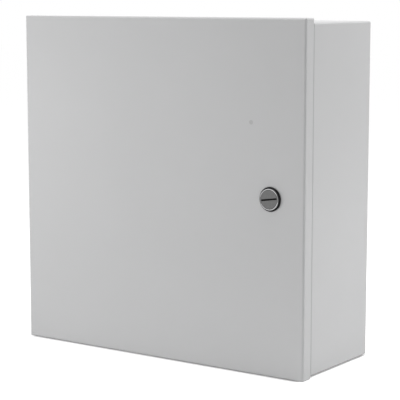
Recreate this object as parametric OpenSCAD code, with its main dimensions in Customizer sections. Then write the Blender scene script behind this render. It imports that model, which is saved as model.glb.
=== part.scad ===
// Wall-mounted steel electrical enclosure with a hinged overlapping door and a quarter-turn slot lock.
// Millimetres. X runs to the right, Y into the wall, Z up. The outer back face lies at Y = 0 and the
// origin is the middle of the four wall holes.

/* [Body] */
// Outer width of the body
body_w = 400; // [300:1:600]
// Outer height of the body
body_h = 400; // [300:1:600]
// Depth from the wall to the front face of the closed door
overall_d = 151.5; // [120:0.5:300]
// Thickness of the body sheet
body_sheet = 1.5; // [1:0.1:2.5]
// Inside radius of the folds in the body sheet
body_fold_r = 1; // [0.5:0.1:2.5]
// Diameter of the four wall holes
wall_hole_d = 9; // [6:0.5:12]
// Distance of the wall holes from the sides of the body
wall_hole_inset = 25; // [15:1:60]

/* [Door] */
// How far the door overlaps each side of the body
door_over_side = 3.4; // [2.5:0.1:5]
// How far the door overlaps the top of the body
door_over_top = 5; // [2:0.1:8]
// How far the door overlaps the bottom of the body
door_over_bottom = 1.6; // [1:0.1:6]
// Thickness of the door sheet
door_sheet = 1.5; // [1:0.1:2.5]
// Inside radius of the folds round the door
door_fold_r = 1; // [0.5:0.1:2.5]
// Radius of the ground welds at the four corners of the door
door_corner_r = 2; // [1:0.1:4]
// Depth of the folded return, from the front face to its edge
return_d = 16; // [13:0.5:20]

/* [Foam seal] */
// Width of the foam strip on the door
gasket_w = 10; // [6:0.5:12]
// Height of the foam strip at its crown
gasket_t = 5.5; // [4:0.1:7]
// Height of the straight sides of the foam strip
gasket_side_h = 2.5; // [1:0.1:3.5]
// Radius of the strip's corners, on its middle line
gasket_corner_r = 14; // [8:0.5:30]
// Gap between the crown of the strip and the lip before the lock pulls the door in
gasket_gap = 0.3; // [0.2:0.05:1]

/* [Hinges] */
// Distance of each hinge from the top or bottom of the body
hinge_from_end = 70; // [45:1:120]
// Diameter of the hinge pins
pin_d = 5; // [3:0.1:6]
// Wall of the knuckles and of the bracket ears round the pin
knuckle_wall = 2; // [1.2:0.1:2.5]
// Length of the knuckle on the door
knuckle_l = 24; // [15:1:40]
// Radial running clearance of the pins in the knuckles
pin_fit = 0.05; // [0.02:0.01:0.1]
// Clearance between the knuckles and the inside of the door
hinge_clear = 0.45; // [0.35:0.05:0.8]
// Thickness of the two ears of a bracket
ear_t = 4; // [2.5:0.5:6]
// Play between the knuckle and each ear
ear_gap = 0.3; // [0.2:0.05:0.6]
// Thickness of the bracket's foot on the gutter
foot_t = 2.5; // [1.5:0.1:4]
// Distance of the ears' stems behind the swing of the door's fold
stem_setback = 1.5; // [1:0.1:2.5]
// Width of the leaf on the door, from the pin to its edge
leaf_w = 7; // [5:0.1:8]
// Thickness of the leaf on the door
leaf_t = 2; // [1.5:0.1:3]
// Free space above and below a bracket in the notch of the return
notch_gap = 1.5; // [0.6:0.1:4]
// Clearance of the swinging return over the floor of the rain gutter
swing_clear = 3.6; // [0.4:0.1:4]
// Clearance of the swinging return beside the sealing lip
lip_clear = 1.4; // [0.5:0.1:6]
// Overhang of the pin heads round the pins
pin_head_rim = 1; // [0.6:0.1:1.5]
// Height of the pin heads
pin_head_h = 1.6; // [1:0.1:3]
// Length of pin below the lower ear
pin_tail = 2.4; // [1.6:0.1:5]
// Depth of the pins' clip grooves
clip_groove = 0.5; // [0.3:0.1:1]
// Width of the retaining clips' rings
clip_wall = 2; // [1:0.1:2.2]
// Thickness of the retaining clips
clip_t = 0.8; // [0.5:0.1:1.2]

/* [Lock] */
// Free space between the lock nut and the foam strip
lock_gap = 4.1; // [1:0.1:40]
// Height of the lock above the middle of the body
lock_up = 2.8; // [-100:0.1:100]
// Diameter of the turning insert
insert_d = 24.8; // [22:0.1:30]
// Height of the insert's face above the housing's rim
insert_proud = 1; // [0.6:0.1:2.5]
// Depth of the housing's recess for the insert
recess_d = 1; // [0.7:0.1:3]
// Wall of the housing's rim round the insert
lock_rim_wall = 0.5; // [0.4:0.1:2]
// Width of the housing's sloping edge
lock_slope_w = 0.9; // [0.3:0.1:3]
// Thickness of the housing under the insert
lock_web_t = 0.7; // [0.5:0.1:2]
// Width of the bevel round the insert
insert_bevel = 0.5; // [0.3:0.1:0.9]
// Length of the key slot
slot_l = 20.5; // [14:0.1:22]
// Width of the key slot
slot_w = 2; // [1:0.1:4]
// Depth of the key slot
slot_depth = 1.1; // [0.6:0.1:1.2]
// Tilt of the slot as it stands, right end up, in degrees
slot_tilt = 8.3; // [0:0.1:15]
// Thickness of the flat seal under the housing
lock_seal_t = 0.5; // [0.3:0.1:0.6]
// Width of the flat seal round the barrel
lock_seal_w = 2; // [1:0.1:4]
// Diameter of the housing's threaded barrel
barrel_d = 22; // [18:0.1:22.4]
// Depth of the barrel's two flats
barrel_flat = 1; // [0.3:0.1:2]
// Clearance of the barrel in the door
barrel_gap = 0.25; // [0.1:0.05:0.6]
// Wall of the lock nut, from its thread to its flats
lock_nut_wall = 2.5; // [1.5:0.1:4]
// Thickness of the lock nut
lock_nut_t = 6; // [4:0.5:8]
// Diameter of the spindle
spindle_d = 10; // [8.5:0.1:12]
// Radial running clearance of the spindle in the housing
spindle_fit = 0.05; // [0.02:0.01:0.1]
// Clearance between turning and standing faces of the lock
run_gap = 0.3; // [0.2:0.05:0.4]
// Width of the spindle's square end
spindle_square = 7; // [5:0.1:7]
// How far the turned cam reaches behind the gutter, past the sealing lip
cam_bite = 9.5; // [5:0.5:12]
// Width of the cam
cam_w = 18; // [12:0.5:20]
// Thickness of the cam
cam_t = 3; // [2:0.1:5]
// Width of the ramps along the cam's two front edges
cam_ramp_w = 3; // [1:0.1:4]
// Depth of those ramps
cam_ramp_h = 1.2; // [0.5:0.1:1.6]
// Clearance of the cam behind the gutter
cam_gap = 1.2; // [0.4:0.1:2]

/* [Mounting panel] */
// Distance of the panel's edges from the sides of the body
panel_margin = 35; // [30:1:60]
// Thickness of the panel
panel_t = 2; // [1.5:0.1:3]
// Inside radius of the panel's two folds
panel_fold_r = 2; // [1:0.1:3]
// Depth of the panel's two stiffening flanges, from its front face
panel_flange = 10; // [7:0.5:12]
// Distance of the panel from the back sheet
panel_standoff = 12; // [11:0.5:40]
// Distance of the panel's studs from its edges
panel_stud_inset = 15; // [13:0.5:40]

/* [Fasteners] */
// Thread diameter of the panel studs
stud_d = 8; // [5:0.5:8]
// Width of the shoulder that the panel seats on
shoulder_w = 3; // [2:0.1:5]
// Length of the studs past their nuts
stud_tip = 4; // [2:0.5:15]
// Clearance of the studs in the panel's holes
stud_gap = 0.4; // [0.2:0.1:1]
// Width of the panel washers' rings
washer_w = 4; // [2.5:0.1:5]
// Thickness of the panel washers
washer_t = 1.6; // [1:0.1:2.5]
// Wall of the panel nuts, from thread to flats
nut_wall = 2.5; // [1.5:0.1:4]
// Thickness of the panel nuts
nut_t = 6.5; // [4:0.5:9]
// Thread diameter of the two earth studs
earth_d = 6; // [4:0.5:6]
// Length of the two earth studs
earth_l = 16; // [12:0.5:25]
// Overhang of the earth studs' weld flanges
earth_flange_w = 1; // [0.5:0.1:2]
// Thickness of the earth studs' weld flanges
earth_flange_t = 1; // [0.6:0.1:2]
// Width of the earth washers' rings
earth_washer_w = 3; // [2:0.1:4]
// Thickness of the earth washers
earth_washer_t = 1.2; // [0.8:0.1:2]
// Wall of the earth nuts, from thread to flats
earth_nut_wall = 2; // [1:0.1:3]
// Thickness of the earth nuts
earth_nut_t = 5; // [3:0.5:6]
// Free space between the mounting panel and the body's earth washer
body_earth_gap = 2; // [1:0.1:6]
// Height of the body's earth stud above the middle of the body
body_earth_up = -60; // [-130:1:130]
// Distance of the door's earth stud from the free edge of the door
door_earth_edge = 71.1; // [66:0.1:150]
// Height of the door's earth stud above the middle of the body
door_earth_up = 88.2; // [-130:0.1:130]
// Diameter of the weld mark of the door's earth stud on the front face
mark_d = 5; // [3:0.1:8]
// Depth of that weld mark
mark_depth = 0.2; // [0.05:0.05:0.4]
// Thread diameter of the cam screw
cam_screw_d = 5; // [3:0.5:5]
// Length of the cam screw in the spindle
cam_screw_l = 10; // [6:0.5:14]
// Overhang of the cam screw's head, from thread to flats
cam_screw_rim = 1.5; // [1:0.1:3]
// Height of the cam screw's head
cam_screw_head_h = 3.5; // [2:0.1:5]
// Width of the cam washer's ring
cam_washer_w = 5; // [3:0.1:6]
// Thickness of the cam washer
cam_washer_t = 1.2; // [0.8:0.1:2]

/* [Hidden] */
$fn = 64;
HEX = 6;

// Overrun of every cut past the face that it opens
cut_over = 1;
// Slope of the chamfers on nuts and screw heads, in degrees
chamfer_deg = 30;
// Chamfer at the ends of studs, screws and pins
thread_chamfer = 0.6;

paint = [0.76, 0.77, 0.77];
zinc = [0.72, 0.73, 0.74];
galvanised = [0.66, 0.68, 0.70];
satin_metal = [0.45, 0.45, 0.46];
black_nylon = [0.05, 0.05, 0.05];
black_rubber = [0.08, 0.08, 0.08];
foam_grey = [0.22, 0.22, 0.23];

// Door
door_w = body_w + 2 * door_over_side;
door_h = body_h + door_over_top + door_over_bottom;
door_z = (door_over_top - door_over_bottom) / 2;
door_bend_r = door_fold_r + door_sheet;
door_face_y = -overall_d;
door_inner_y = door_face_y + door_sheet;
return_edge_y = door_face_y + return_d;

// Hinge axis, tucked into the corner of the door, and the reach of the swinging return round it
knuckle_r = pin_d / 2 + knuckle_wall;
pivot_x = -door_w / 2 + door_sheet + hinge_clear + knuckle_r;
pivot_y = door_inner_y + hinge_clear + knuckle_r;
swing_r = norm([door_w / 2 + pivot_x, return_edge_y - pivot_y]);
hinge_z = body_h / 2 - hinge_from_end;
bracket_h = knuckle_l + 2 * ear_gap + 2 * ear_t;
clip_groove_d = pin_d - 2 * clip_groove;
clip_d = clip_groove_d + 2 * clip_wall;
notch_h = bracket_h + 2 * notch_gap;

// Body: the gutter's floor and lip lie just clear of the return's swing, the lip's edge behind the foam
body_bend_r = body_fold_r + body_sheet;
gutter_y = pivot_y + swing_r + swing_clear;
gutter_rear_y = gutter_y + body_sheet;
wall_front_y = gutter_y + body_bend_r;
lip_edge_y = door_inner_y + gasket_t + gasket_gap;
lip_x = -pivot_x - swing_r - lip_clear;
gutter_w = body_w / 2 - lip_x;
lip_z = body_h / 2 - gutter_w;
wall_hole_x = body_w / 2 - wall_hole_inset;
wall_hole_z = body_h / 2 - wall_hole_inset;

// Foot of a hinge bracket, on the flat of the gutter
foot_left_x = max(pivot_x + stem_setback, -body_w / 2 + body_bend_r);
foot_right_x = -lip_x - body_bend_r;

// Foam strip, on the middle of the lip
strip_x = lip_x - body_sheet / 2;
strip_z = lip_z - body_sheet / 2;
crown_h = gasket_t - gasket_side_h;
crown_r = (pow(gasket_w / 2, 2) + pow(crown_h, 2)) / (2 * crown_h);

// Lock
lock_nut_af = barrel_d + 2 * lock_nut_wall;
lock_x = strip_x - gasket_w / 2 - lock_gap - corner_r(lock_nut_af);
lock_rim_d = insert_d + 2 * run_gap + 2 * lock_rim_wall;
lock_seal_d = barrel_d + 2 * lock_seal_w;
lock_base_d = max(lock_rim_d, lock_seal_d) + 2 * lock_slope_w;
flange_y = door_face_y - lock_seal_t;
recess_y = flange_y - lock_web_t;
rim_y = recess_y - recess_d;
insert_y = rim_y - insert_proud;
insert_back_y = recess_y - run_gap;
insert_t = insert_back_y - insert_y;
cam_y = gutter_rear_y + cam_gap;
barrel_end_y = cam_y - run_gap;
cam_rear_y = cam_y + cam_t;
square_end_y = cam_rear_y - run_gap;
cam_head_y = cam_rear_y + cam_washer_t;
cam_l = lip_x + cam_bite - lock_x;

// Mounting panel
panel_w = body_w - 2 * panel_margin;
panel_h = body_h - 2 * panel_margin;
panel_rear_y = -body_sheet - panel_standoff;
panel_front_y = panel_rear_y - panel_t;
panel_bend_r = panel_fold_r + panel_t;
stud_x = panel_w / 2 - panel_stud_inset;
stud_z = panel_h / 2 - panel_stud_inset;
stud_l = panel_standoff + panel_t + washer_t + nut_t + stud_tip;

// Earth studs
earth_washer_d = earth_d + 2 * earth_washer_w;
body_earth_x = panel_w / 2 + body_earth_gap + earth_washer_d / 2;
door_earth_x = door_w / 2 - door_earth_edge;
mark_r = (pow(mark_d / 2, 2) + pow(mark_depth, 2)) / (2 * mark_depth);

// Radius over the corners of a hexagon with width af across its flats
function corner_r(af) = af / 2 / cos(180 / HEX);

// An outline in X and Z made into a sheet that starts at y and is t thick towards the wall
module sheet_behind(y, t) {
    translate([0, y + t, 0])
        rotate([90, 0, 0])
            linear_extrude(t)
                children();
}

// Parts drawn along +Z, turned to stand on the plane y and point out of the door or into the body
module pointing_out(y) {
    translate([0, y, 0])
        rotate([90, 0, 0])
            children();
}
module pointing_in(y) {
    translate([0, y, 0])
        rotate([-90, 0, 0])
            children();
}

// Rectangle with true round corners
module rounded_rect(w, h, r) {
    square([w - 2 * r, h], center = true);
    square([w, h - 2 * r], center = true);
    for (sx = [-1, 1], sz = [-1, 1])
        translate([sx * (w / 2 - r), sz * (h / 2 - r)])
            circle(r);
}

// Section of a quarter-turn fold in sheet of thickness t, round the origin
module fold(r, t) {
    intersection() {
        difference() {
            circle(r + t);
            circle(r);
        }
        square(r + t);
    }
}

// Four lengths of one folded section, mitred at the corners of a w by h frame.
// The section is drawn with x inwards from the outside of the frame and y out of the wall.
module folded_frame(w, h, reach) {
    for (turn = [0 : 3]) {
        along = turn % 2 == 0 ? w : h;
        across = turn % 2 == 0 ? h : w;
        rotate([0, 90 * turn, 0])
            intersection() {
                translate([along / 2, 0, across / 2])
                    rotate([180, 90, 0])
                        linear_extrude(along)
                            children();
                sheet_behind(door_face_y - cut_over, overall_d + 2 * cut_over)
                    polygon([[-along / 2, across / 2], [along / 2, across / 2],
                             [along / 2 - reach, across / 2 - reach],
                             [-along / 2 + reach, across / 2 - reach]]);
            }
    }
}

// Hexagon with both ends chamfered, as on a nut
module chamfered_hex(af, t) {
    outer_r = corner_r(af);
    slope_h = (outer_r - af / 2) * tan(chamfer_deg);
    intersection() {
        cylinder(r = outer_r, h = t, $fn = HEX);
        rotate_extrude()
            polygon([[0, 0], [af / 2, 0], [outer_r, slope_h],
                     [outer_r, t - slope_h], [af / 2, t], [0, t]]);
    }
}
module nut(af, t, bore_d) {
    difference() {
        chamfered_hex(af, t);
        translate([0, 0, -cut_over])
            cylinder(d = bore_d, h = t + 2 * cut_over);
    }
}
module washer(d, t, bore_d) {
    difference() {
        cylinder(d = d, h = t);
        translate([0, 0, -cut_over])
            cylinder(d = bore_d, h = t + 2 * cut_over);
    }
}

// Round bar with a chamfered end
module bar(d, l) {
    cylinder(d = d, h = l - thread_chamfer);
    translate([0, 0, l - thread_chamfer])
        cylinder(d1 = d, d2 = d - 2 * thread_chamfer, h = thread_chamfer);
}

// Folded wrap of the body: sides, rain gutter and sealing lip
module rim_section() {
    gutter_v = -gutter_y;
    translate([body_bend_r, gutter_v - body_bend_r])
        rotate(90)
            fold(body_fold_r, body_sheet);
    translate([body_bend_r, gutter_v - body_sheet])
        square([gutter_w - body_fold_r - body_bend_r, body_sheet]);
    translate([gutter_w - body_fold_r, gutter_v + body_fold_r])
        rotate(-90)
            fold(body_fold_r, body_sheet);
    translate([gutter_w, gutter_v + body_fold_r])
        square([body_sheet, -lip_edge_y - gutter_v - body_fold_r]);
}
module body_wrap() {
    color(paint)
        intersection() {
            union() {
                sheet_behind(wall_front_y, -wall_front_y)
                    difference() {
                        rounded_rect(body_w, body_h, body_bend_r);
                        rounded_rect(body_w - 2 * body_sheet, body_h - 2 * body_sheet, body_fold_r);
                    }
                folded_frame(body_w, body_h, gutter_w + body_sheet)
                    rim_section();
            }
            sheet_behind(door_face_y, overall_d + cut_over)
                rounded_rect(body_w, body_h, body_bend_r);
        }
}

// Back sheet, welded into the wrap, with the four wall holes
module back_panel() {
    color(paint)
        sheet_behind(-body_sheet, body_sheet)
            difference() {
                rounded_rect(body_w - 2 * body_sheet, body_h - 2 * body_sheet, body_fold_r);
                for (sx = [-1, 1], sz = [-1, 1])
                    translate([sx * wall_hole_x, sz * wall_hole_z])
                        circle(d = wall_hole_d);
            }
}

// Mounting panel with its two vertical edges folded back, on four shouldered studs
module panel_section() {
    flat_x = panel_w / 2 - panel_bend_r;
    translate([-flat_x, panel_front_y])
        square([2 * flat_x, panel_t]);
    for (side = [0, 1])
        mirror([side, 0]) {
            translate([flat_x, panel_front_y + panel_bend_r])
                rotate(-90)
                    fold(panel_fold_r, panel_t);
            translate([panel_w / 2 - panel_t, panel_front_y + panel_bend_r])
                square([panel_t, panel_flange - panel_bend_r]);
        }
}
module at_panel_studs() {
    for (sx = [-1, 1], sz = [-1, 1])
        translate([sx * stud_x, 0, sz * stud_z])
            children();
}
module mounting_panel() {
    color(galvanised)
        difference() {
            linear_extrude(panel_h, center = true)
                panel_section();
            at_panel_studs()
                pointing_out(panel_rear_y + cut_over)
                    cylinder(d = stud_d + 2 * stud_gap, h = panel_t + 2 * cut_over);
        }
}
module panel_studs() {
    color(zinc)
        at_panel_studs()
            pointing_out(-body_sheet) {
                cylinder(d = stud_d + 2 * shoulder_w, h = panel_standoff);
                bar(stud_d, stud_l);
            }
}
module panel_washers() {
    color(zinc)
        at_panel_studs()
            pointing_out(panel_front_y)
                washer(stud_d + 2 * washer_w, washer_t, stud_d);
}
module panel_nuts() {
    color(zinc)
        at_panel_studs()
            pointing_out(panel_front_y - washer_t)
                nut(stud_d + 2 * nut_wall, nut_t, stud_d);
}

// Welded earth stud with its washer and nut, drawn along +Z
module earth_stud() {
    cylinder(d = earth_d + 2 * earth_flange_w, h = earth_flange_t);
    bar(earth_d, earth_l);
}
module earth_washer() {
    translate([0, 0, earth_flange_t])
        washer(earth_washer_d, earth_washer_t, earth_d);
}
module earth_nut() {
    translate([0, 0, earth_flange_t + earth_washer_t])
        nut(earth_d + 2 * earth_nut_wall, earth_nut_t, earth_d);
}
module at_body_earth() {
    translate([body_earth_x, 0, body_earth_up])
        pointing_out(-body_sheet)
            children();
}
module body_earth_stud() {
    color(zinc)
        at_body_earth()
            earth_stud();
}
module body_earth_washer() {
    color(zinc)
        at_body_earth()
            earth_washer();
}
module body_earth_nut() {
    color(zinc)
        at_body_earth()
            earth_nut();
}
module at_door_earth() {
    translate([door_earth_x, 0, door_earth_up])
        pointing_in(door_inner_y)
            children();
}
module door_earth_stud() {
    color(zinc)
        at_door_earth()
            earth_stud();
}
module door_earth_washer() {
    color(zinc)
        at_door_earth()
            earth_washer();
}
module door_earth_nut() {
    color(zinc)
        at_door_earth()
            earth_nut();
}

// Concealed hinge: bracket with two ears on the gutter, leaf with one knuckle on the door
module at_hinge(z) {
    translate([pivot_x, pivot_y, z])
        children();
}
module pin_bore(d) {
    translate([0, 0, -bracket_h / 2 - cut_over])
        cylinder(d = d, h = bracket_h + 2 * cut_over);
}
module ear_outline() {
    foot_left = foot_left_x - pivot_x;
    foot_right = foot_right_x - pivot_x;
    gutter = gutter_y - pivot_y;
    circle(knuckle_r);
    polygon([[foot_left, 0], [knuckle_r, 0], [foot_right, gutter - foot_t],
             [foot_right, gutter], [foot_left, gutter]]);
}
module hinge_bracket() {
    difference() {
        union() {
            for (low = [-bracket_h / 2, bracket_h / 2 - ear_t])
                translate([0, 0, low])
                    linear_extrude(ear_t)
                        ear_outline();
            translate([foot_left_x - pivot_x, gutter_y - pivot_y - foot_t, -bracket_h / 2])
                cube([foot_right_x - foot_left_x, foot_t, bracket_h]);
        }
        pin_bore(pin_d);
    }
}
module upper_hinge_bracket() {
    color(paint)
        at_hinge(hinge_z)
            hinge_bracket();
}
module lower_hinge_bracket() {
    color(paint)
        at_hinge(-hinge_z)
            hinge_bracket();
}
module hinge_leaf() {
    difference() {
        linear_extrude(knuckle_l, center = true) {
            circle(knuckle_r);
            translate([0, door_inner_y - pivot_y])
                square([leaf_w, leaf_t]);
        }
        pin_bore(pin_d + 2 * pin_fit);
    }
}
module upper_hinge_leaf() {
    color(paint)
        at_hinge(hinge_z)
            hinge_leaf();
}
module lower_hinge_leaf() {
    color(paint)
        at_hinge(-hinge_z)
            hinge_leaf();
}
module hinge_pin() {
    difference() {
        union() {
            translate([0, 0, bracket_h / 2])
                cylinder(d = pin_d + 2 * pin_head_rim, h = pin_head_h);
            translate([0, 0, bracket_h / 2])
                mirror([0, 0, 1])
                    bar(pin_d, bracket_h + pin_tail);
        }
        translate([0, 0, -bracket_h / 2 - clip_t])
            washer(pin_d + cut_over, clip_t, clip_groove_d);
    }
}
module upper_hinge_pin() {
    color(zinc)
        at_hinge(hinge_z)
            hinge_pin();
}
module lower_hinge_pin() {
    color(zinc)
        at_hinge(-hinge_z)
            hinge_pin();
}
module pin_clip() {
    translate([0, 0, -bracket_h / 2 - clip_t])
        difference() {
            washer(clip_d, clip_t, clip_groove_d);
            translate([0, -clip_groove_d / 2, -cut_over])
                cube([clip_d, clip_groove_d, clip_t + 2 * cut_over]);
        }
}
module upper_pin_clip() {
    color(zinc)
        at_hinge(hinge_z)
            pin_clip();
}
module lower_pin_clip() {
    color(zinc)
        at_hinge(-hinge_z)
            pin_clip();
}

// Door: a sheet with four folded returns, notched at the hinges
module door_edge_section() {
    translate([0, -return_edge_y])
        square([door_sheet, return_d - door_bend_r]);
    translate([door_bend_r, overall_d - door_bend_r])
        rotate(90)
            fold(door_fold_r, door_sheet);
}
module barrel_outline(gap) {
    intersection() {
        circle(d = barrel_d + 2 * gap);
        square([barrel_d - 2 * barrel_flat + 2 * gap, barrel_d + 2 * gap], center = true);
    }
}
module door_panel() {
    color(paint)
        difference() {
            intersection() {
                translate([0, 0, door_z]) {
                    folded_frame(door_w, door_h, door_bend_r)
                        door_edge_section();
                    sheet_behind(door_face_y, door_sheet)
                        square([door_w - 2 * door_bend_r, door_h - 2 * door_bend_r], center = true);
                }
                translate([0, 0, door_z])
                    sheet_behind(door_face_y - cut_over, return_d + 2 * cut_over)
                        rounded_rect(door_w, door_h, door_corner_r);
            }
            at_lock()
                sheet_behind(door_face_y - cut_over, door_sheet + 2 * cut_over)
                    barrel_outline(barrel_gap);
            for (z = [-hinge_z, hinge_z])
                translate([-door_w / 2 - cut_over, door_face_y + door_bend_r, z - notch_h / 2])
                    cube([door_sheet + 2 * cut_over, return_d, notch_h]);
            translate([door_earth_x, door_face_y + mark_depth - mark_r, door_earth_up])
                sphere(mark_r);
        }
}

// Foam strip with a domed section, poured round the inside of the door
module strip_section() {
    translate([-gasket_w / 2, 0])
        square([gasket_w, gasket_side_h]);
    intersection() {
        translate([0, gasket_t - crown_r])
            circle(crown_r);
        translate([-gasket_w / 2, gasket_side_h])
            square([gasket_w, crown_h]);
    }
}
module door_gasket() {
    straight_x = strip_x - gasket_corner_r;
    straight_z = strip_z - gasket_corner_r;
    color(foam_grey) {
        for (turn = [0 : 3])
            rotate([0, 90 * turn, 0])
                translate([turn % 2 == 0 ? strip_x : strip_z, door_inner_y, 0])
                    linear_extrude(2 * (turn % 2 == 0 ? straight_z : straight_x), center = true)
                        strip_section();
        for (flip_x = [0, 1], flip_z = [0, 1])
            mirror([flip_x, 0, 0])
                mirror([0, 0, flip_z])
                    translate([straight_x, door_inner_y, -straight_z])
                        rotate([-90, 0, 0])
                            rotate_extrude(angle = 90)
                                translate([gasket_corner_r, 0])
                                    strip_section();
    }
}

// Quarter-turn lock: housing, seal and nut stay on the door, spindle and cam turn
module at_lock() {
    translate([lock_x, 0, lock_up])
        children();
}
module lock_housing() {
    color(black_nylon)
        at_lock()
            difference() {
                union() {
                    pointing_out(flange_y)
                        cylinder(d1 = lock_base_d, d2 = lock_rim_d, h = flange_y - rim_y);
                    sheet_behind(flange_y, barrel_end_y - flange_y)
                        barrel_outline(0);
                }
                pointing_out(recess_y)
                    cylinder(d = insert_d + 2 * run_gap, h = recess_d + cut_over);
                pointing_in(rim_y)
                    cylinder(d = spindle_d + 2 * spindle_fit, h = barrel_end_y - rim_y + cut_over);
            }
}
module lock_seal() {
    color(black_rubber)
        at_lock()
            sheet_behind(flange_y, lock_seal_t)
                difference() {
                    circle(d = lock_seal_d);
                    circle(d = barrel_d);
                }
}
module lock_nut() {
    color(zinc)
        at_lock()
            pointing_in(door_inner_y)
                nut(lock_nut_af, lock_nut_t, barrel_d);
}
module insert_profile() {
    face_r = insert_d / 2;
    polygon([[0, 0], [face_r, 0], [face_r, insert_t - insert_bevel],
             [face_r - insert_bevel, insert_t], [0, insert_t]]);
}
module lock_spindle() {
    color(satin_metal)
        at_lock()
            difference() {
                union() {
                    pointing_out(insert_back_y)
                        rotate_extrude()
                            insert_profile();
                    pointing_in(insert_back_y)
                        cylinder(d = spindle_d, h = cam_y - insert_back_y);
                    sheet_behind(cam_y, square_end_y - cam_y)
                        rotate(slot_tilt)
                            square(spindle_square, center = true);
                }
                sheet_behind(insert_y - cut_over, slot_depth + cut_over)
                    rotate(slot_tilt)
                        square([slot_l, slot_w], center = true);
                pointing_out(square_end_y + cut_over)
                    cylinder(d = cam_screw_d, h = cam_screw_l + cut_over);
            }
}
module cam_outline() {
    arm_l = cam_l - cam_w / 2;
    circle(d = cam_w);
    translate([-cam_w / 2, -arm_l])
        square([cam_w, arm_l]);
    translate([0, -arm_l])
        circle(d = cam_w);
}
module cam_section() {
    half = cam_w / 2;
    polygon([[-half + cam_ramp_w, 0], [half - cam_ramp_w, 0], [half, cam_ramp_h],
             [half, cam_t], [-half, cam_t], [-half, cam_ramp_h]]);
}
module lock_cam() {
    color(zinc)
        at_lock()
            intersection() {
                sheet_behind(cam_y, cam_t)
                    rotate(slot_tilt)
                        difference() {
                            cam_outline();
                            square(spindle_square, center = true);
                        }
                rotate([0, -slot_tilt, 0])
                    translate([0, cam_y, -cam_l])
                        linear_extrude(cam_l + cam_w / 2)
                            cam_section();
            }
}
module cam_washer() {
    color(zinc)
        at_lock()
            pointing_in(cam_rear_y)
                washer(cam_screw_d + 2 * cam_washer_w, cam_washer_t, cam_screw_d);
}
module cam_screw() {
    color(zinc)
        at_lock() {
            pointing_in(cam_head_y)
                chamfered_hex(cam_screw_d + 2 * cam_screw_rim, cam_screw_head_h);
            pointing_out(cam_head_y)
                bar(cam_screw_d, cam_head_y - square_end_y + cam_screw_l);
        }
}

body_wrap();
back_panel();
mounting_panel();
panel_studs();
panel_washers();
panel_nuts();
body_earth_stud();
body_earth_washer();
body_earth_nut();
upper_hinge_bracket();
lower_hinge_bracket();
upper_hinge_pin();
lower_hinge_pin();
upper_pin_clip();
lower_pin_clip();
door_panel();
door_gasket();
upper_hinge_leaf();
lower_hinge_leaf();
door_earth_stud();
door_earth_washer();
door_earth_nut();
lock_housing();
lock_seal();
lock_nut();
lock_spindle();
lock_cam();
cam_washer();
cam_screw();
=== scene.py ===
import math

import bpy
import numpy as np
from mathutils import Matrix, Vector


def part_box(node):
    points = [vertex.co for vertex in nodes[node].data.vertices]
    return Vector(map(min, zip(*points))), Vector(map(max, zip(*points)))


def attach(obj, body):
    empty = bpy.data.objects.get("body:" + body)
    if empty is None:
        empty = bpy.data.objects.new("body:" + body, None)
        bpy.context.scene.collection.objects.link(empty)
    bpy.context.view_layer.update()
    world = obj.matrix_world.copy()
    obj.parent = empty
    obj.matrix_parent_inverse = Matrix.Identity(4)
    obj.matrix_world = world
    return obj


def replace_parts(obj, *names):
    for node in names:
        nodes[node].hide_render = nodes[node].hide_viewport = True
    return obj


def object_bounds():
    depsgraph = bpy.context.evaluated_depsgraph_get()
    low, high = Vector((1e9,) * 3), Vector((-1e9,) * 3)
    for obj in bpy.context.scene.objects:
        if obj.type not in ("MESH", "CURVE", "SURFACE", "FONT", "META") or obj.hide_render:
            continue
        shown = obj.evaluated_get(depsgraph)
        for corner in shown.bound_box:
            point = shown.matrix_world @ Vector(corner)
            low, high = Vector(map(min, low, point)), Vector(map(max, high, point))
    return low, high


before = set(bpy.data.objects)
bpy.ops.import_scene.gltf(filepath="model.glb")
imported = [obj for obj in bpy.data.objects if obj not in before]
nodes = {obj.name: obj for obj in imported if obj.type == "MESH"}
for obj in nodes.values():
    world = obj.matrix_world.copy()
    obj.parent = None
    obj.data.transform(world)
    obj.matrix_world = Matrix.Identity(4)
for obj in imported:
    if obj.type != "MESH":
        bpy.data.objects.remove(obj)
cad_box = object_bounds()

# Body: wrap and back sheet
# Two pieces of 1.5 mm steel sheet. The wrap is folded into four sides, a rain gutter and a sealing lip,
# the back sheet is welded in behind it, and both are sprayed with light grey powder and baked.
MM = 0.001
body_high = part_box("body_wrap")[1]
paint_colour, paint_ior = (0.584, 0.586, 0.590), 1.5
paint_smooth, paint_rough = 0.44, 0.54
peel_size, peel_depth = 1.9 * MM, 0.035 * MM
grains_per_peel, grain_share, powder_detail = 5.0, 0.35, 2.0
drifts_per_metre, shade_drift = 7.0, 0.05
noise_low, noise_high, noise_middle = 0.3, 0.7, 0.5


def wire(tree, kind, feeds=None, **settings):
    """Adds one node: settings are its own properties, feeds are values or other sockets for its inputs."""
    made = tree.nodes.new(kind)
    for key, value in settings.items():
        setattr(made, key, value)
    for key, value in (feeds or {}).items():
        if isinstance(value, bpy.types.NodeSocket):
            tree.links.new(value, made.inputs[key])
        else:
            made.inputs[key].default_value = value
    return made


def reckon(tree, operation, *values):
    """Result of one Math node on the given values."""
    return wire(tree, "ShaderNodeMath", dict(enumerate(values)), operation=operation).outputs[0]


def reckon_vector(tree, operation, *values):
    """Result of one Vector Math node: a number for a length or a dot product, and otherwise a vector."""
    made = wire(tree, "ShaderNodeVectorMath", dict(enumerate(values)), operation=operation)
    return made.outputs["Value" if operation in ("LENGTH", "DOT_PRODUCT") else "Vector"]


def scaled(tree, vector, scale):
    """A vector or colour times one number."""
    made = wire(tree, "ShaderNodeVectorMath", {0: vector, "Scale": scale}, operation="SCALE")
    return made.outputs["Vector"]


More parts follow.
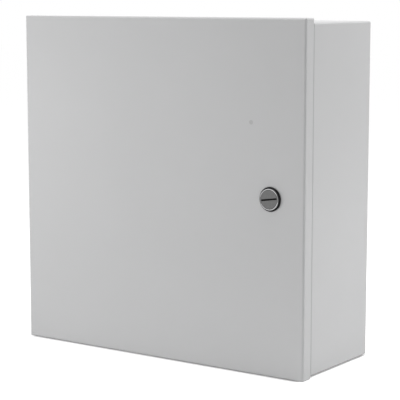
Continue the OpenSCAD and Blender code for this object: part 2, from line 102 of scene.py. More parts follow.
def spread(tree, value, start, end, low, high, curve="LINEAR"):
    """Lays a value's run from start to end over low to high, and holds it beyond both."""
    feeds = {"Value": value, "From Min": start, "From Max": end, "To Min": low, "To Max": high}
    return wire(tree, "ShaderNodeMapRange", feeds, interpolation_type=curve).outputs["Result"]


def spread_noise(tree, noise, low, high):
    """Lays the run that noise mostly keeps to over low to high."""
    return spread(tree, noise, noise_low, noise_high, low, high)


def noise_at(tree, place, per_metre, detail):
    """Noise of so many lumps to the metre, about 0 to 1."""
    feeds = {"Vector": place, "Scale": per_metre, "Detail": detail}
    return wire(tree, "ShaderNodeTexNoise", feeds).outputs["Fac"]


def new_group(name, inputs, outputs):
    """Empty shader group with the named sockets. Returns its tree, input node and output node."""
    tree = bpy.data.node_groups.new(name, "ShaderNodeTree")
    for side, sockets in (("INPUT", inputs), ("OUTPUT", outputs)):
        for label, kind in sockets.items():
            tree.interface.new_socket(name=label, in_out=side, socket_type="NodeSocket" + kind)
    return tree, tree.nodes.new("NodeGroupInput"), tree.nodes.new("NodeGroupOutput")


def grain_group():
    """Baked powder: orange peel and finer grain in height, a slow drift in shade, and gloss that follows the
    peel.
    """
    tree, given, result = new_group(
        "powder_grain",
        {"Position": "Vector", "Peel Size": "Float", "Shade Drift": "Float"},
        {"Shade": "Float", "Roughness": "Float", "Height": "Float"},
    )
    place = given.outputs["Position"]
    peels_per_metre = reckon(tree, "DIVIDE", 1.0, given.outputs["Peel Size"])
    grains_per_metre = reckon(tree, "MULTIPLY", peels_per_metre, grains_per_peel)
    peel = noise_at(tree, place, peels_per_metre, powder_detail)
    grain = noise_at(tree, place, grains_per_metre, powder_detail)
    drift = noise_at(tree, place, drifts_per_metre, powder_detail)
    height = reckon(tree, "MULTIPLY_ADD", grain, grain_share, peel)
    off_middle = reckon(tree, "SUBTRACT", drift, noise_middle)
    shade = reckon(tree, "MULTIPLY_ADD", off_middle, given.outputs["Shade Drift"], 1.0)
    tree.links.new(shade, result.inputs["Shade"])
    tree.links.new(spread_noise(tree, peel, paint_smooth, paint_rough), result.inputs["Roughness"])
    tree.links.new(height, result.inputs["Height"])
    return tree


powder_grain = grain_group()


def new_material(name, sockets):
    """Material with one Principled BSDF set as given, with its tree, shader and Object coordinate."""
    made = bpy.data.materials.new(name)
    made.use_nodes = True
    tree = made.node_tree
    shader = tree.nodes["Principled BSDF"]
    for label, value in sockets.items():
        shader.inputs[label].default_value = value
    place = wire(tree, "ShaderNodeTexCoord").outputs["Object"]
    return made, tree, shader, place


def raise_surface(tree, shader, height, depth):
    """Feeds a height through a Bump node, depth metres from its 0 to its 1, to the shader's normal."""
    bump = wire(tree, "ShaderNodeBump", {"Height": height, "Distance": depth, "Strength": 1.0})
    tree.links.new(bump.outputs["Normal"], shader.inputs["Normal"])


def powder_coat(name):
    """Light grey powder coat: its grain drives shade, gloss and surface."""
    made, tree, shader, place = new_material(name, {"IOR": paint_ior})
    feeds = {"Position": place, "Peel Size": peel_size, "Shade Drift": shade_drift}
    grain = wire(tree, "ShaderNodeGroup", feeds, node_tree=powder_grain)
    tree.links.new(scaled(tree, paint_colour, grain.outputs["Shade"]), shader.inputs["Base Color"])
    tree.links.new(grain.outputs["Roughness"], shader.inputs["Roughness"])
    raise_surface(tree, shader, grain.outputs["Height"], peel_depth)
    return made


def coat(material, *names):
    """Gives the named frame pieces this one material."""
    for name in names:
        nodes[name].data.materials.clear()
        nodes[name].data.materials.append(material)


body_paint = powder_coat("body_paint")
coat(body_paint, "body_wrap", "back_panel")


def skin(name, grids, material, body, ring_path=False, sharp=40):
    """One piece from grids of points (rows along it, columns round it): four neighbours make each face.

    Columns always close into a ring. Rows close too on a ring path, and otherwise each end gets a fan of
    triangles to its middle. A grid whose signed volume comes out negative has its faces turned round.
    Edges that bend by more than sharp degrees stay crisp.
    """
    points, faces, first = [], [], 0
    for grid in grids:
        rows, columns = grid.shape[:2]
        index = np.arange(rows * columns).reshape(rows, columns)
        index = np.hstack([index, index[:, :1]])
        flat = grid.reshape(-1, 3)
        fans = np.empty((0, 3), int)
        if ring_path:
            index = np.vstack([index, index[:1]])
        else:
            ends = np.array([flat[index[0, :-1]].mean(0), flat[index[-1, :-1]].mean(0)])
            near = np.stack([index[0, 1:], index[0, :-1], np.full(columns, len(flat))], -1)
            far = np.stack([index[-1, :-1], index[-1, 1:], np.full(columns, len(flat) + 1)], -1)
            fans = np.vstack([near, far])
            flat = np.vstack([flat, ends])
        corners = [index[:-1, :-1], index[:-1, 1:], index[1:, 1:], index[1:, :-1]]
        quads = np.stack(corners, -1).reshape(-1, 4)
        halves = np.vstack([quads[:, [0, 1, 2]], quads[:, [0, 2, 3]], fans])
        a, b, c = (flat[halves[:, k]] - flat.mean(0) for k in range(3))
        if (a * np.cross(b, c)).sum() < 0:
            quads, fans = quads[:, ::-1], fans[:, ::-1]
        points.append(flat)
        faces += (quads + first).tolist() + (fans + first).tolist()
        first += len(flat)
    mesh = bpy.data.meshes.new(name)
    mesh.from_pydata(np.vstack(points).tolist(), [], faces)
    mesh.shade_smooth()
    mesh.set_sharp_from_angle(angle=math.radians(sharp))
    mesh.materials.append(material)
    made = bpy.data.objects.new(name, mesh)
    bpy.context.scene.collection.objects.link(made)
    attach(made, body)
    return made


ripple, rows_per_ripple, fewest_rows, ripple_share = 1.7 * MM, 5, 9, 0.08
taper_share, tip_share = 1.2, 0.02
fillet_crown, ground_height = 0.17, 0.22


def weld_bead(start, end, up, out, section, size):
    """Weld along a straight seam: a section carried from start to end, swelling once per ripple.

    The section's two columns are shares of size along the unit directions up and out. It tapers at both
    ends with the root of the distance to the end.
    """
    start, end, up, out = (np.asarray(v, float) for v in (start, end, up, out))
    length = np.linalg.norm(end - start)
    s = np.linspace(0, length, max(fewest_rows, int(length / ripple * rows_per_ripple)))
    taper = np.sqrt(np.clip(np.minimum(s, length - s) / (taper_share * size), tip_share, 1))
    swell = size * taper * (1 - ripple_share + ripple_share * np.abs(np.sin(math.pi * s / ripple)))
    along = start + np.outer(s / length, end - start)
    return along[:, None] + swell[:, None, None] * (section[:, :1] * up + section[:, 1:] * out)


quarter = np.linspace(0, math.pi / 2, 9)
crown = 1 + fillet_crown * np.sin(2 * quarter)
fillet = np.vstack([[0, 0], crown[:, None] * np.stack([np.cos(quarter), np.sin(quarter)], -1)])
half_turn = np.linspace(0, math.pi, 13)
ground_flat = np.stack([np.cos(half_turn), ground_height * np.sin(half_turn)], -1)

wall = 1.5 * MM
inner_x, inner_z = body_high.x - wall, body_high.z - wall
seam_stitches, seam_pitch, seam_stitch, seam_leg = 6, 60 * MM, 24 * MM, 1.6 * MM
stitch_middles = (np.arange(seam_stitches) - (seam_stitches - 1) / 2) * seam_pitch
toward_door = (0, -1, 0)
seams = []
for side in (-1, 1):
    for mid in stitch_middles:
        low, high = mid - seam_stitch / 2, mid + seam_stitch / 2
        seams.append(weld_bead((side * inner_x, -wall, low), (side * inner_x, -wall, high),
                               (-side, 0, 0), toward_door, fillet, seam_leg))
        seams.append(weld_bead((low, -wall, side * inner_z), (high, -wall, side * inner_z),
                               (0, 0, -side), toward_door, fillet, seam_leg))
skin("back_seam_welds", seams, body_paint, "enclosure")

gutter_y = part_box("upper_hinge_bracket")[1].y
mitre_from, mitre_to, mitre_half = 2.6 * MM, 14.8 * MM, 1.5 * MM
mitres = []
for sx in (-1, 1):
    for sz in (-1, 1):
        start, end = ((sx * (body_high.x - inset), gutter_y, sz * (body_high.z - inset))
                      for inset in (mitre_from, mitre_to))
        across = np.array([sx, 0, -sz]) / math.sqrt(2)
        mitres.append(weld_bead(start, end, across, toward_door, ground_flat, mitre_half))
skin("gutter_mitre_welds", mitres, body_paint, "enclosure")

# Mounting panel
# Loose plate of 2 mm galvanised steel with two folded edges, cut and drilled after the zinc bath,
# so its faces keep the crystals of the cooled zinc.
spangle_size, small_per_large, large_weight = 9 * MM, 2.6, 0.65
spangle_dark, spangle_bright, spangle_tint = 0.46, 0.64, (0.97, 1.0, 1.03)
spangle_smooth, spangle_rough = 0.34, 0.52
scratches_per_metre, scratch_detail, scratch_depth = 900.0, 2.0, 0.01 * MM


def galvanised_sheet():
    """Zinc crystals: each cell of two sizes of Voronoi has its own brightness, under fine scratches.

    The large cells also have their own gloss.
    """
    made, tree, shader, place = new_material("galvanised_sheet", {"Metallic": 1.0})
    tones = []
    for per_metre in (1 / spangle_size, small_per_large / spangle_size):
        cells = wire(tree, "ShaderNodeTexVoronoi", {"Vector": place, "Scale": per_metre, "Randomness": 1.0})
        tones.append(wire(tree, "ShaderNodeSeparateColor", {"Color": cells.outputs["Color"]}).outputs)
    large, small = tones
    mixed = reckon(tree, "MULTIPLY_ADD", large["Red"], large_weight, small["Green"])
    bright = spread(tree, mixed, 0.0, 1 + large_weight, spangle_dark, spangle_bright)
    tree.links.new(scaled(tree, spangle_tint, bright), shader.inputs["Base Color"])
    gloss = spread(tree, large["Blue"], 0.0, 1.0, spangle_smooth, spangle_rough)
    tree.links.new(gloss, shader.inputs["Roughness"])
    raise_surface(tree, shader, noise_at(tree, place, scratches_per_metre, scratch_detail), scratch_depth)
    return made


coat(galvanised_sheet(), "mounting_panel")

# Panel studs, washers and nuts
# Four M8 studs with a shoulder that the panel rests on, resistance-welded to the back sheet, each with a
# pressed washer and a hexagon nut, all steel with bright zinc plating.
stains_per_metre, stain_detail, zinc_tint = 160.0, 4.0, (0.98, 1.0, 1.03)
zinc_dark, zinc_bright, zinc_smooth, zinc_rough = 0.36, 0.50, 0.28, 0.42
tumbles_per_metre, tumble_detail, tumble_depth = 1500.0, 2.0, 0.008 * MM


def zinc_group():
    """Bright zinc plate: soft cloudy stains in shade and gloss and a fine tumbled surface."""
    tree, given, result = new_group(
        "zinc_cloud",
        {"Position": "Vector"},
        {"Colour": "Color", "Roughness": "Float", "Height": "Float"},
    )
    stain = noise_at(tree, given.outputs["Position"], stains_per_metre, stain_detail)
    tumble = noise_at(tree, given.outputs["Position"], tumbles_per_metre, tumble_detail)
    shade = spread_noise(tree, stain, zinc_dark, zinc_bright)
    tree.links.new(scaled(tree, zinc_tint, shade), result.inputs["Colour"])
    tree.links.new(spread_noise(tree, stain, zinc_smooth, zinc_rough), result.inputs["Roughness"])
    tree.links.new(tumble, result.inputs["Height"])
    return tree


def zinc_plate():
    """Zinc-plated steel, its clouding from the group."""
    made, tree, shader, place = new_material("bright_zinc", {"Metallic": 1.0})
    cloud = wire(tree, "ShaderNodeGroup", {"Position": place}, node_tree=zinc_group())
    tree.links.new(cloud.outputs["Colour"], shader.inputs["Base Color"])
    tree.links.new(cloud.outputs["Roughness"], shader.inputs["Roughness"])
    raise_surface(tree, shader, cloud.outputs["Height"], tumble_depth)
    return made


bright_zinc = zinc_plate()
coat(bright_zinc, "panel_washers", "panel_nuts")

stud_r, stud_pitch = 4 * MM, 1.25 * MM
shoulder_r, shoulder_h = 7 * MM, 12 * MM
weld_flash, edge, tip_chamfer = 0.9 * MM, 0.3 * MM, 0.6 * MM
thread_flat, thread_depth_share, run_in_share = 0.125, 0.61, 0.6
stud_columns, rows_per_pitch = 40, 8


def thread_wave(h, a, pitch):
    """Depth share of a right-hand thread at height h and angle a.

    It is a triangle wave in h / pitch - a / turn, cut flat at its crest and root.
    """
    turn = np.mod(h / pitch - a / (2 * math.pi), 1.0)
    return np.clip((1 + 2 * thread_flat) * np.abs(2 * turn - 1) - thread_flat, 0, 1)


def threaded_stud(foot, toward, heights, radii, thread_r, pitch, length):
    """Stud of revolution on a foot point, standing along Y: plain rings, then a thread.

    The rings have the given heights and radii. The thread starts at the last ring's height. Its radius is
    thread_r less a share of the pitch times its wave, cut by a 45 degree chamfer at the tip, which is at the
    height length.
    """
    a = np.linspace(0, 2 * math.pi, stud_columns, endpoint=False)
    thread_l = length - heights[-1]
    h_thread = heights[-1] + np.linspace(0, thread_l, round(thread_l / pitch * rows_per_pitch))
    fade = np.clip((h_thread - heights[-1]) / (run_in_share * pitch), 0, 1)[:, None]
    crest = np.minimum(thread_r, thread_r - tip_chamfer + length - h_thread)[:, None]
    depth = thread_depth_share * pitch * fade * thread_wave(h_thread[:, None], a, pitch)
    r_thread = np.minimum(crest, thread_r - depth)
    h = np.concatenate([heights, h_thread])
    r = np.vstack([np.repeat(np.array(radii)[:, None], len(a), 1), r_thread])
    x = foot[0] + r * np.cos(a)
    z = foot[2] + r * np.sin(a)
    y = np.broadcast_to(foot[1] + toward * h[:, None], r.shape)
    return np.stack([x, y, z], -1)


stud_low, stud_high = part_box("panel_studs")
stud_x, stud_z = stud_high.x - shoulder_r, stud_high.z - shoulder_r
flash_h = weld_flash * (1 - np.cos(quarter))
flash_r = shoulder_r + weld_flash * (1 - np.sin(quarter))
shoulder_heights = [*flash_h, shoulder_h - edge, shoulder_h]
shoulder_radii = [*flash_r, shoulder_r, shoulder_r - edge]
stud_l = stud_high.y - stud_low.y
panel_studs = [
    threaded_stud((sx * stud_x, stud_high.y, sz * stud_z), -1, shoulder_heights, shoulder_radii,
                  stud_r, stud_pitch, stud_l)
    for sx in (-1, 1) for sz in (-1, 1)
]
studs = skin("threaded_panel_studs", panel_studs, bright_zinc, "enclosure")
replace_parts(studs, "panel_studs")

# Earth studs, washers and nuts
# An M6 stud with a small weld flange, its washer and nut, on the back sheet and again on the inside of the
# door. Plated steel, welded on before painting and masked.
earth_r, earth_pitch = 3 * MM, 1.0 * MM
earth_flange_r, earth_flange_h = 4 * MM, 1.0 * MM
earth_heights = [0, earth_flange_h - edge, earth_flange_h]
earth_radii = [earth_flange_r, earth_flange_r, earth_flange_r - edge]
coat(bright_zinc, "body_earth_washer", "body_earth_nut", "door_earth_washer", "door_earth_nut")
for node, body, toward in (("body_earth_stud", "enclosure", -1), ("door_earth_stud", "door", 1)):
    low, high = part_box(node)
    root_y = high.y if toward < 0 else low.y
    foot = ((low.x + high.x) / 2, root_y, (low.z + high.z) / 2)
    stud = threaded_stud(foot, toward, earth_heights, earth_radii, earth_r, earth_pitch, high.y - low.y)
    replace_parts(skin("threaded_" + node, [stud], bright_zinc, body), node)

# Hinge brackets, pins and clips
# Steel brackets with two ears, welded into the gutter at the left and painted with the body. A headed and
# plated steel pin goes through each, with a spring clip in the groove at its lower end.
coat(body_paint, "upper_hinge_bracket", "lower_hinge_bracket")
coat(bright_zinc, "upper_hinge_pin", "lower_hinge_pin", "upper_pin_clip", "lower_pin_clip")
foot_leg, stem_back = 1.2 * MM, 6.0 * MM
for level in ("upper", "lower"):
    low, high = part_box(level + "_hinge_bracket")
    beads = [
        weld_bead((low.x + stem_back, high.y, z), (high.x, high.y, z),
                  (0, 0, way), toward_door, fillet, foot_leg)
        for z, way in ((high.z, 1), (low.z, -1))
    ]
    skin(level + "_bracket_welds", beads, body_paint, "enclosure")

# Door
# One 1.5 mm steel sheet with four folded returns and ground corner welds, painted like the body, with a
# faint round print where the earth stud was welded to its inside.
print_low, print_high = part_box("door_earth_stud")
print_mid = (print_low + print_high) / 2
print_r, print_shade = 2.5 * MM, 0.84
print_inner, print_outer = 0.9 * print_r, 1.15 * print_r


def axis_radius(tree, place, x, z):
    """Distance of the surface from an axis along Y through x and z."""
    away = reckon_vector(tree, "SUBTRACT", place, (x, 0, z))
    return reckon_vector(tree, "LENGTH", reckon_vector(tree, "MULTIPLY", away, (1, 0, 1)))


def printed_coat():
    """Door paint, with a slightly darker disc about the earth stud's axis."""
    made = powder_coat("door_paint")
    tree = made.node_tree
    shader = tree.nodes["Principled BSDF"]
    painted = shader.inputs["Base Color"].links[0].from_socket
    place = wire(tree, "ShaderNodeTexCoord").outputs["Object"]
    radius = axis_radius(tree, place, print_mid.x, print_mid.z)
    shade = spread(tree, radius, print_inner, print_outer, print_shade, 1.0, "SMOOTHSTEP")
    tree.links.new(scaled(tree, painted, shade), shader.inputs["Base Color"])
    return made


door_paint = printed_coat()
coat(door_paint, "door_panel")

# Hinge leaves
# A knuckle with a flat leaf at each hinge, welded to the inside of the door by two stitches along the
# leaf's edge and painted with the door.
coat(door_paint, "upper_hinge_leaf", "lower_hinge_leaf")
leaf_stitch, leaf_leg = 8 * MM, 1.1 * MM
for level in ("upper", "lower"):
    low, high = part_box(level + "_hinge_leaf")
    beads = [
        weld_bead((high.x, low.y, z), (high.x, low.y, z + leaf_stitch),
                  (1, 0, 0), (0, 1, 0), fillet, leaf_leg)
        for z in (low.z + leaf_leg, high.z - leaf_leg - leaf_stitch)
    ]
    skin(level + "_leaf_welds", beads, door_paint, "door")

# Foam seal
# A bead of grey polyurethane foam poured round the inside of the door, domed, with a skin over fine
# pores, a blunt lump where the pour ends and a shallow groove where the body's lip has pressed it.
seal_low, seal_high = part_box("door_gasket")
seal_w, seal_h, seal_side = 10 * MM, 5.5 * MM, 2.5 * MM
seal_corner_r, seal_step, seal_crown_points = 14 * MM, 2.5 * MM, 23
lip_dent, lip_half = 0.28 * MM, 0.9 * MM
waves_per_lap, wave_shares = np.array([37, 71, 113]), np.array([0.5, 0.3, 0.2])
wave_starts = np.array([0.0, 1.0, 2.0])
pour_end_share, lump_half = 0.625, 5 * MM
width_slack, width_wave, width_lump = 0.012, 0.010, 0.05
height_slack, height_wave, height_lump = 0.010, 0.008, 0.02


def rounded_path(half_x, half_z, r, step):
    """Points and outward directions on a rounded rectangle in X and Z, evenly spaced along its length s.

    Four times a straight side and the quarter circle after it, laid end to end from the foot of the
    right-hand side.
    """
    straight_x, straight_z = half_x - r, half_z - r
    lengths = np.array([2 * straight_z, math.pi * r / 2, 2 * straight_x, math.pi * r / 2] * 2)
    ends = np.cumsum(lengths)
    s = np.arange(0, ends[-1], ends[-1] / round(ends[-1] / step))
    part = np.searchsorted(ends, s, side="right")
    t = s - (ends - lengths)[part]
    corner = part // 2
    base = corner * math.pi / 2
    angle = base + np.where(part % 2 == 1, t / r, 0.0)
    out = np.stack([np.cos(angle), np.sin(angle)], -1)
    centre_x = straight_x * np.array([1, -1, -1, 1])[corner]
    centre_z = straight_z * np.array([1, 1, -1, -1])[corner]
    run = np.where(part % 2 == 0, t - lengths[part], 0.0)
    along = np.stack([-np.sin(base), np.cos(base)], -1) * run[:, None]
    place = np.stack([centre_x, centre_z], -1) + along + r * out
    return place, out, s, ends[-1]


def foam_strip():
    """Domed section carried round the door: a flat foot, straight sides and an arc for its crown.

    Width and height swell by a few hundredths as sums of sines of the distance s, the end of the pour adds
    a Gaussian lump, and the lip's groove is a Gaussian dip on the crown.
    """
    half, crown_h = seal_w / 2, seal_h - seal_side
    place, out, s, total = rounded_path(seal_high.x - half, seal_high.z - half, seal_corner_r, seal_step)
    crown_r = (half ** 2 + crown_h ** 2) / (2 * crown_h)
    lean = math.asin(half / crown_r)
    b = np.linspace(-lean, lean, seal_crown_points)
    across = np.concatenate([[-half, -half], crown_r * np.sin(b), [half, half]])
    up = np.concatenate([[0, seal_side / 2], seal_h - crown_r * (1 - np.cos(b)), [seal_side / 2, 0]])
    groove = lip_dent * np.exp(-(across / lip_half) ** 2)
    lap = 2 * math.pi * s / total
    wave = wave_shares @ np.sin(np.outer(waves_per_lap, lap) + wave_starts[:, None])
    lump = np.exp(-((s - total * pour_end_share) / lump_half) ** 2)
    width = 1 - width_slack + width_wave * wave + width_lump * lump
    height = 1 - height_slack + height_wave * wave + height_lump * lump
    offset = across * width[:, None]
    lift = (up - groove) * height[:, None]
    x = place[:, :1] + out[:, :1] * offset
    z = place[:, 1:] + out[:, 1:] * offset
    return np.stack([x, seal_low.y + np.maximum(lift, 0), z], -1)


pit_core, pit_edge = 0.08, 0.35
pore_noise_share, pore_detail = 0.6, 3.0


def pores_group():
    """Fine pits: small Voronoi dots over soft noise, as height and as a mask for their painted shade, from 0
    in a pit to 1.
    """
    tree, given, result = new_group(
        "fine_pores",
        {"Position": "Vector", "Pore Size": "Float"},
        {"Height": "Float", "Shade": "Float"},
    )
    place = given.outputs["Position"]
    per_metre = reckon(tree, "DIVIDE", 1.0, given.outputs["Pore Size"])
    cells = wire(tree, "ShaderNodeTexVoronoi", {"Vector": place, "Scale": per_metre})
    noise = noise_at(tree, place, per_metre, pore_detail)
    pit = spread(tree, cells.outputs["Distance"], pit_core, pit_edge, 0.0, 1.0, "SMOOTHSTEP")
    tree.links.new(reckon(tree, "MULTIPLY_ADD", noise, pore_noise_share, pit), result.inputs["Height"])
    tree.links.new(pit, result.inputs["Shade"])
    return tree


fine_pores = pores_group()


def blend(tree, share, first, second):
    """Colour from first at share 0 to second at share 1."""
    feeds = {"Factor": share, "A": first, "B": second}
    return wire(tree, "ShaderNodeMix", feeds, data_type="RGBA").outputs["Result"]


def porous(name, colour, pit_shade_colour, pore_size, depth, roughness, specular):
    """Matt surface with pores: pits take a darker colour as their painted shade and sink by depth."""
    made, tree, shader, place = new_material(name, {"Roughness": roughness, "Specular IOR Level": specular})
    feeds = {"Position": place, "Pore Size": pore_size}
    pores = wire(tree, "ShaderNodeGroup", feeds, node_tree=fine_pores)
    mixed = blend(tree, pores.outputs["Shade"], (*pit_shade_colour, 1), (*colour, 1))
    tree.links.new(mixed, shader.inputs["Base Color"])
    raise_surface(tree, shader, pores.outputs["Height"], depth)
    return made


# The pits in the foam, nylon and rubber are painted darker as their shade.
foam = porous("poured_foam", colour=(0.052, 0.052, 0.055), pit_shade_colour=(0.018, 0.018, 0.019),
              pore_size=0.7 * MM, depth=0.12 * MM, roughness=0.85, specular=0.3)
strip = skin("poured_foam_seal", [foam_strip()], foam, "door", ring_path=True, sharp=50)
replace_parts(strip, "door_gasket")

# Lock housing, seal and nut
# A moulded black nylon housing with a sloping flange and a threaded barrel with two flats, a flat rubber
# seal under the flange and a plated nut that clamps the housing to the door.
nylon = porous("black_nylon", colour=(0.010, 0.010, 0.011), pit_shade_colour=(0.007, 0.007, 0.008),
               pore_size=0.35 * MM, depth=0.012 * MM, roughness=0.38, specular=0.12)
rubber = porous("black_rubber", colour=(0.016, 0.016, 0.016), pit_shade_colour=(0.010, 0.010, 0.010),
                pore_size=0.4 * MM, depth=0.02 * MM, roughness=0.7, specular=0.2)
housing_low, housing_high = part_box("lock_housing")
lock_x, lock_z = ((housing_low[k] + housing_high[k]) / 2 for k in (0, 2))
base_r, rim_r, recess_r, bore_r = 14.1 * MM, 13.2 * MM, 12.7 * MM, 5.05 * MM
flange_h, recess_h, soft = 1.7 * MM, 1.0 * MM, 0.15 * MM
barrel_r, barrel_flat, barrel_pitch = 11 * MM, 10 * MM, 1.5 * MM
plain_collar, barrel_depth_share, least_cosine = 2 * MM, 0.55, 0.1
housing_columns = 96


def threaded_housing():
    """Section of the housing turned about the lock's axis: recess, rim, sloping flange, barrel and bore.

    On the barrel the radius is the thread's, cut by a chamfer at its end and by two flats at a constant
    distance in X, which is flat over the cosine of the angle.
    """
    a = np.linspace(0, 2 * math.pi, housing_columns, endpoint=False)
    rim_y, end_y = housing_low.y, housing_high.y
    flange_y, floor_y = rim_y + flange_h, rim_y + recess_h
    front_r = [bore_r, recess_r, recess_r, recess_r + soft, rim_r - soft, rim_r, base_r, base_r]
    front_y = [floor_y, floor_y, rim_y + soft, rim_y, rim_y, rim_y + soft, flange_y - soft, flange_y]
    barrel_y = np.linspace(flange_y, end_y, int((end_y - flange_y) / barrel_pitch * rows_per_pitch))
    h = barrel_y[:, None]
    crest = np.minimum(barrel_r, barrel_r - tip_chamfer + end_y - h)
    cut = np.clip((h - flange_y - plain_collar) / barrel_pitch, 0, 1)
    depth = barrel_depth_share * barrel_pitch * cut * thread_wave(h, a, barrel_pitch)
    thread = np.minimum(crest, barrel_r - depth)
    barrel = np.minimum(thread, barrel_flat / np.maximum(np.abs(np.cos(a)), least_cosine))
    ring = np.ones((1, len(a)))
    r = np.vstack([np.array(front_r)[:, None] * ring, barrel, bore_r * ring])
    y = np.concatenate([front_y, barrel_y, [end_y]])
    return np.stack([lock_x + r * np.cos(a), y[:, None] * ring, lock_z + r * np.sin(a)], -1)


housing = skin("threaded_lock_housing", [threaded_housing()], nylon, "door", ring_path=True)
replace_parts(housing, "lock_housing")
coat(rubber, "lock_seal")
coat(bright_zinc, "lock_nut")

# Lock insert
# A die-cast zinc insert that turns in the housing, satin on its face, with a slot across it for a driver,
# painted black inside as its shade, and a polished ring round it, brightened as a painted highlight on its
# bevel and painted dimmer beside the slot's ends as its weaker reflection there. A dark line painted inside
# the ring stands for the shade of a turned groove.
face_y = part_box("lock_spindle")[0].y
# The polished ring's colour is raised further as a painted highlight on the bevel.
ring_r, ring_half, polish_and_highlight_colour = 11.65 * MM, 0.4 * MM, (0.48, 0.48, 0.49, 1)
# Painted shade: a dark line inside the ring stands for the shade of a turned groove.
shade_line_r, shade_line_half, shade_line_share = 10.95 * MM, 0.22 * MM, 0.8
band_inner, band_outer = 0.9, 1.1
# Painted shade: the slot's inside is painted near black.
slot_tilt, slot_reach, slot_shade_colour = math.radians(8.3), 11.0 * MM, (0.006, 0.006, 0.006, 1)
slot_from, slot_full = 0.1 * MM, 0.5 * MM
# Painted reflection: the ring is painted dimmer beside the slot's ends.
dim_reflection_from, dim_reflection_to, dim_reflection_share = 3.0 * MM, 6.0 * MM, 0.25
face_dark, face_bright, face_rough, ring_rough = 0.094, 0.122, 0.42, 0.22
cast_per_metre, cast_detail, cast_depth = 1400.0, 3.0, 0.01 * MM


def band(tree, radius, middle, half):
    """1 within half of a middle radius and 0 outside it, with a narrow soft edge."""
    away = reckon(tree, "ABSOLUTE", reckon(tree, "SUBTRACT", radius, middle))
    return spread(tree, away, band_inner * half, band_outer * half, 1.0, 0.0)


def satin_casting():
    """Satin die-casting: a grained face, with a polished ring about the lock's axis that is brightened as a
    painted highlight on its bevel, and a dark line painted inside it as the shade of a turned groove.

    The slot is painted black as its shade where it is deeper than the face. The ring is painted dimmer
    beside the slot's ends, where its distance from the slot's middle line is small, as its weaker reflection
    there.
    """
    made, tree, shader, place = new_material("satin_casting", {"Metallic": 1.0})
    radius = axis_radius(tree, place, lock_x, lock_z)
    square_to_slot = (-math.sin(slot_tilt), 0, math.cos(slot_tilt))
    centred = reckon_vector(tree, "SUBTRACT", place, (lock_x, 0, lock_z))
    from_slot = reckon(tree, "ABSOLUTE", reckon_vector(tree, "DOT_PRODUCT", centred, square_to_slot))
    # The ring's painted highlight is dimmed beside the slot's ends, as its weaker reflection there.
    ring_reflection_share = spread(tree, from_slot, dim_reflection_from, dim_reflection_to, dim_reflection_share, 1.0)
    ring = reckon(tree, "MULTIPLY", band(tree, radius, ring_r, ring_half), ring_reflection_share)
    depth = wire(tree, "ShaderNodeSeparateXYZ", {"Vector": place}).outputs["Y"]
    # Painted shade: the slot's inside and the line for the groove go near black.
    sunk = spread(tree, depth, face_y + slot_from, face_y + slot_full, 0.0, 1.0)
    slot = reckon(tree, "MULTIPLY", sunk, reckon(tree, "LESS_THAN", radius, slot_reach))
    line = reckon(tree, "MULTIPLY", band(tree, radius, shade_line_r, shade_line_half), shade_line_share)
    black = reckon(tree, "MAXIMUM", slot, line)
    cast = noise_at(tree, place, cast_per_metre, cast_detail)
    shade = spread_noise(tree, cast, face_dark, face_bright)
    face = wire(tree, "ShaderNodeCombineColor", {"Red": shade, "Green": shade, "Blue": shade})
    polished = blend(tree, ring, face.outputs["Color"], polish_and_highlight_colour)
    tree.links.new(blend(tree, black, polished, slot_shade_colour), shader.inputs["Base Color"])
    tree.links.new(spread(tree, ring, 0.0, 1.0, face_rough, ring_rough), shader.inputs["Roughness"])
    raise_surface(tree, shader, cast, cast_depth)
    return made


coat(satin_casting(), "lock_spindle")

# Cam, washer and screw
# A stamped and plated steel cam on the spindle's square end, held by a washer and a hexagon screw.
coat(bright_zinc, "lock_cam", "cam_washer", "cam_screw")

# Floor, light and camera
# A plain white studio: a floor under the box, a pale sky all round, soft lamps at the left, overhead and
# behind the right side, and a camera to the right of the door, a little above its middle.
floor_z, floor_half = cad_box[0].z, 8.0
floor_shade, floor_glow, sky_light = 0.9, 0.62, 0.42
under_side, shade_reach = 6 * MM, 8 * MM
stand_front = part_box("door_panel")[0].y
stand_mid = (0, (stand_front + body_high.y) / 2, floor_z)
stand_half = (body_high.x - under_side, (body_high.y - stand_front) / 2, 0)
corners = np.array([[-1, -1], [1, -1], [1, 1], [-1, 1]]) * floor_half
floor_mesh = bpy.data.meshes.new("floor")
floor_mesh.from_pydata(np.column_stack([corners, np.full(4, floor_z)]).tolist(), [], [[0, 1, 2, 3]])
floor = bpy.data.objects.new("floor", floor_mesh)
bpy.context.scene.collection.objects.link(floor)


def seen_direct(tree):
    """1 for rays that show the studio itself: from the camera, or by way of metal or glass."""
    path = wire(tree, "ShaderNodeLightPath").outputs
    by_mirror = reckon(tree, "MAXIMUM", path["Is Camera Ray"], path["Is Glossy Ray"])
    return reckon(tree, "MAXIMUM", by_mirror, path["Is Transmission Ray"])


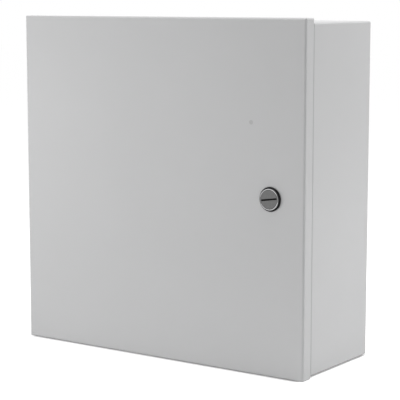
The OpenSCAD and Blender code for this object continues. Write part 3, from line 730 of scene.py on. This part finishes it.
def white_floor():
    """Matt white floor that glows to full white where it is seen, and keeps the shadow.

    The glow fades to nothing over shade_reach towards the rectangle the object stands on, and is nothing
    under it, so the floor there shows its own shadow, and the fade adds a painted darkening along the
    footprint's edge.
    """
    made = bpy.data.materials.new("white_floor")
    made.use_nodes = True
    tree = made.node_tree
    tree.nodes.remove(tree.nodes["Principled BSDF"])
    place = wire(tree, "ShaderNodeTexCoord").outputs["Object"]
    apart = reckon_vector(tree, "ABSOLUTE", reckon_vector(tree, "SUBTRACT", place, stand_mid))
    beyond = reckon_vector(tree, "SUBTRACT", apart, stand_half)
    outside = reckon_vector(tree, "MAXIMUM", beyond, (0, 0, 0))
    distance = reckon_vector(tree, "LENGTH", outside)
    # Painted shade: the glow fades near the footprint, darkening the floor along its edge.
    strength = spread(tree, distance, 0.0, shade_reach, 0.0, floor_glow)
    matt = wire(tree, "ShaderNodeBsdfDiffuse", {"Color": (floor_shade, floor_shade, floor_shade, 1)})
    glow = wire(tree, "ShaderNodeEmission", {"Color": (1, 1, 1, 1), "Strength": strength})
    lit = wire(tree, "ShaderNodeAddShader", {0: matt.outputs[0], 1: glow.outputs[0]})
    pick = wire(tree, "ShaderNodeMixShader", {0: seen_direct(tree), 1: matt.outputs[0], 2: lit.outputs[0]})
    tree.links.new(pick.outputs[0], tree.nodes["Material Output"].inputs["Surface"])
    return made


floor_mesh.materials.append(white_floor())

world = bpy.data.worlds.new("studio")
bpy.context.scene.world = world
world.use_nodes = True
sky = world.node_tree
for old in list(sky.nodes):
    sky.nodes.remove(old)
dim = wire(sky, "ShaderNodeBackground", {"Color": (1, 1, 1, 1), "Strength": sky_light})
white = wire(sky, "ShaderNodeBackground", {"Color": (1, 1, 1, 1), "Strength": 1.0})
either = wire(sky, "ShaderNodeMixShader", {0: seen_direct(sky), 1: dim.outputs[0], 2: white.outputs[0]})
wire(sky, "ShaderNodeOutputWorld", {"Surface": either.outputs[0]})


def soft_lamp(name, place, aim, width, height, watts):
    """Rectangular area lamp at a place, turned to face a point."""
    data = bpy.data.lights.new(name, "AREA")
    data.shape, data.size, data.size_y, data.energy = "RECTANGLE", width, height, watts
    lamp = bpy.data.objects.new(name, data)
    lamp.location = place
    lamp.rotation_euler = (Vector(place) - Vector(aim)).to_track_quat("Z", "Y").to_euler()
    lamp.visible_camera = False
    bpy.context.scene.collection.objects.link(lamp)


soft_lamp("left_lamp", place=(-1.1, -0.9, 0.15), aim=(-0.1, -0.15, 0),
          width=0.6, height=0.6, watts=2.6)
soft_lamp("low_left_lamp", place=(-1.4, -1.2, -0.05), aim=(-0.1, -0.15, 0),
          width=0.8, height=0.25, watts=5.8)
soft_lamp("overhead_lamp", place=(0.2, -0.15, 1.3), aim=(0.2, -0.15, 0),
          width=0.3, height=0.3, watts=9.0)
soft_lamp("high_right_lamp", place=(0.9, 0.5, 0.55), aim=(0.2, -0.07, 0.15),
          width=0.4, height=0.2, watts=2.7)
soft_lamp("low_right_lamp", place=(0.75, 0.4, -0.17), aim=(0.2, -0.07, -0.16),
          width=0.4, height=0.08, watts=0.7)

camera_place, look_down, look_left = (1.0191, -1.5152, 0.2249), 7.876, 35.057
camera_data = bpy.data.cameras.new("photo_camera")
camera_data.sensor_width = 36.0
camera_data.lens = 130.5
camera = bpy.data.objects.new("photo_camera", camera_data)
camera.location = camera_place
camera.rotation_euler = (math.radians(90 - look_down), 0, math.radians(look_left))
bpy.context.scene.collection.objects.link(camera)
bpy.context.scene.camera = camera
bpy.context.scene.view_settings.view_transform = "Standard"
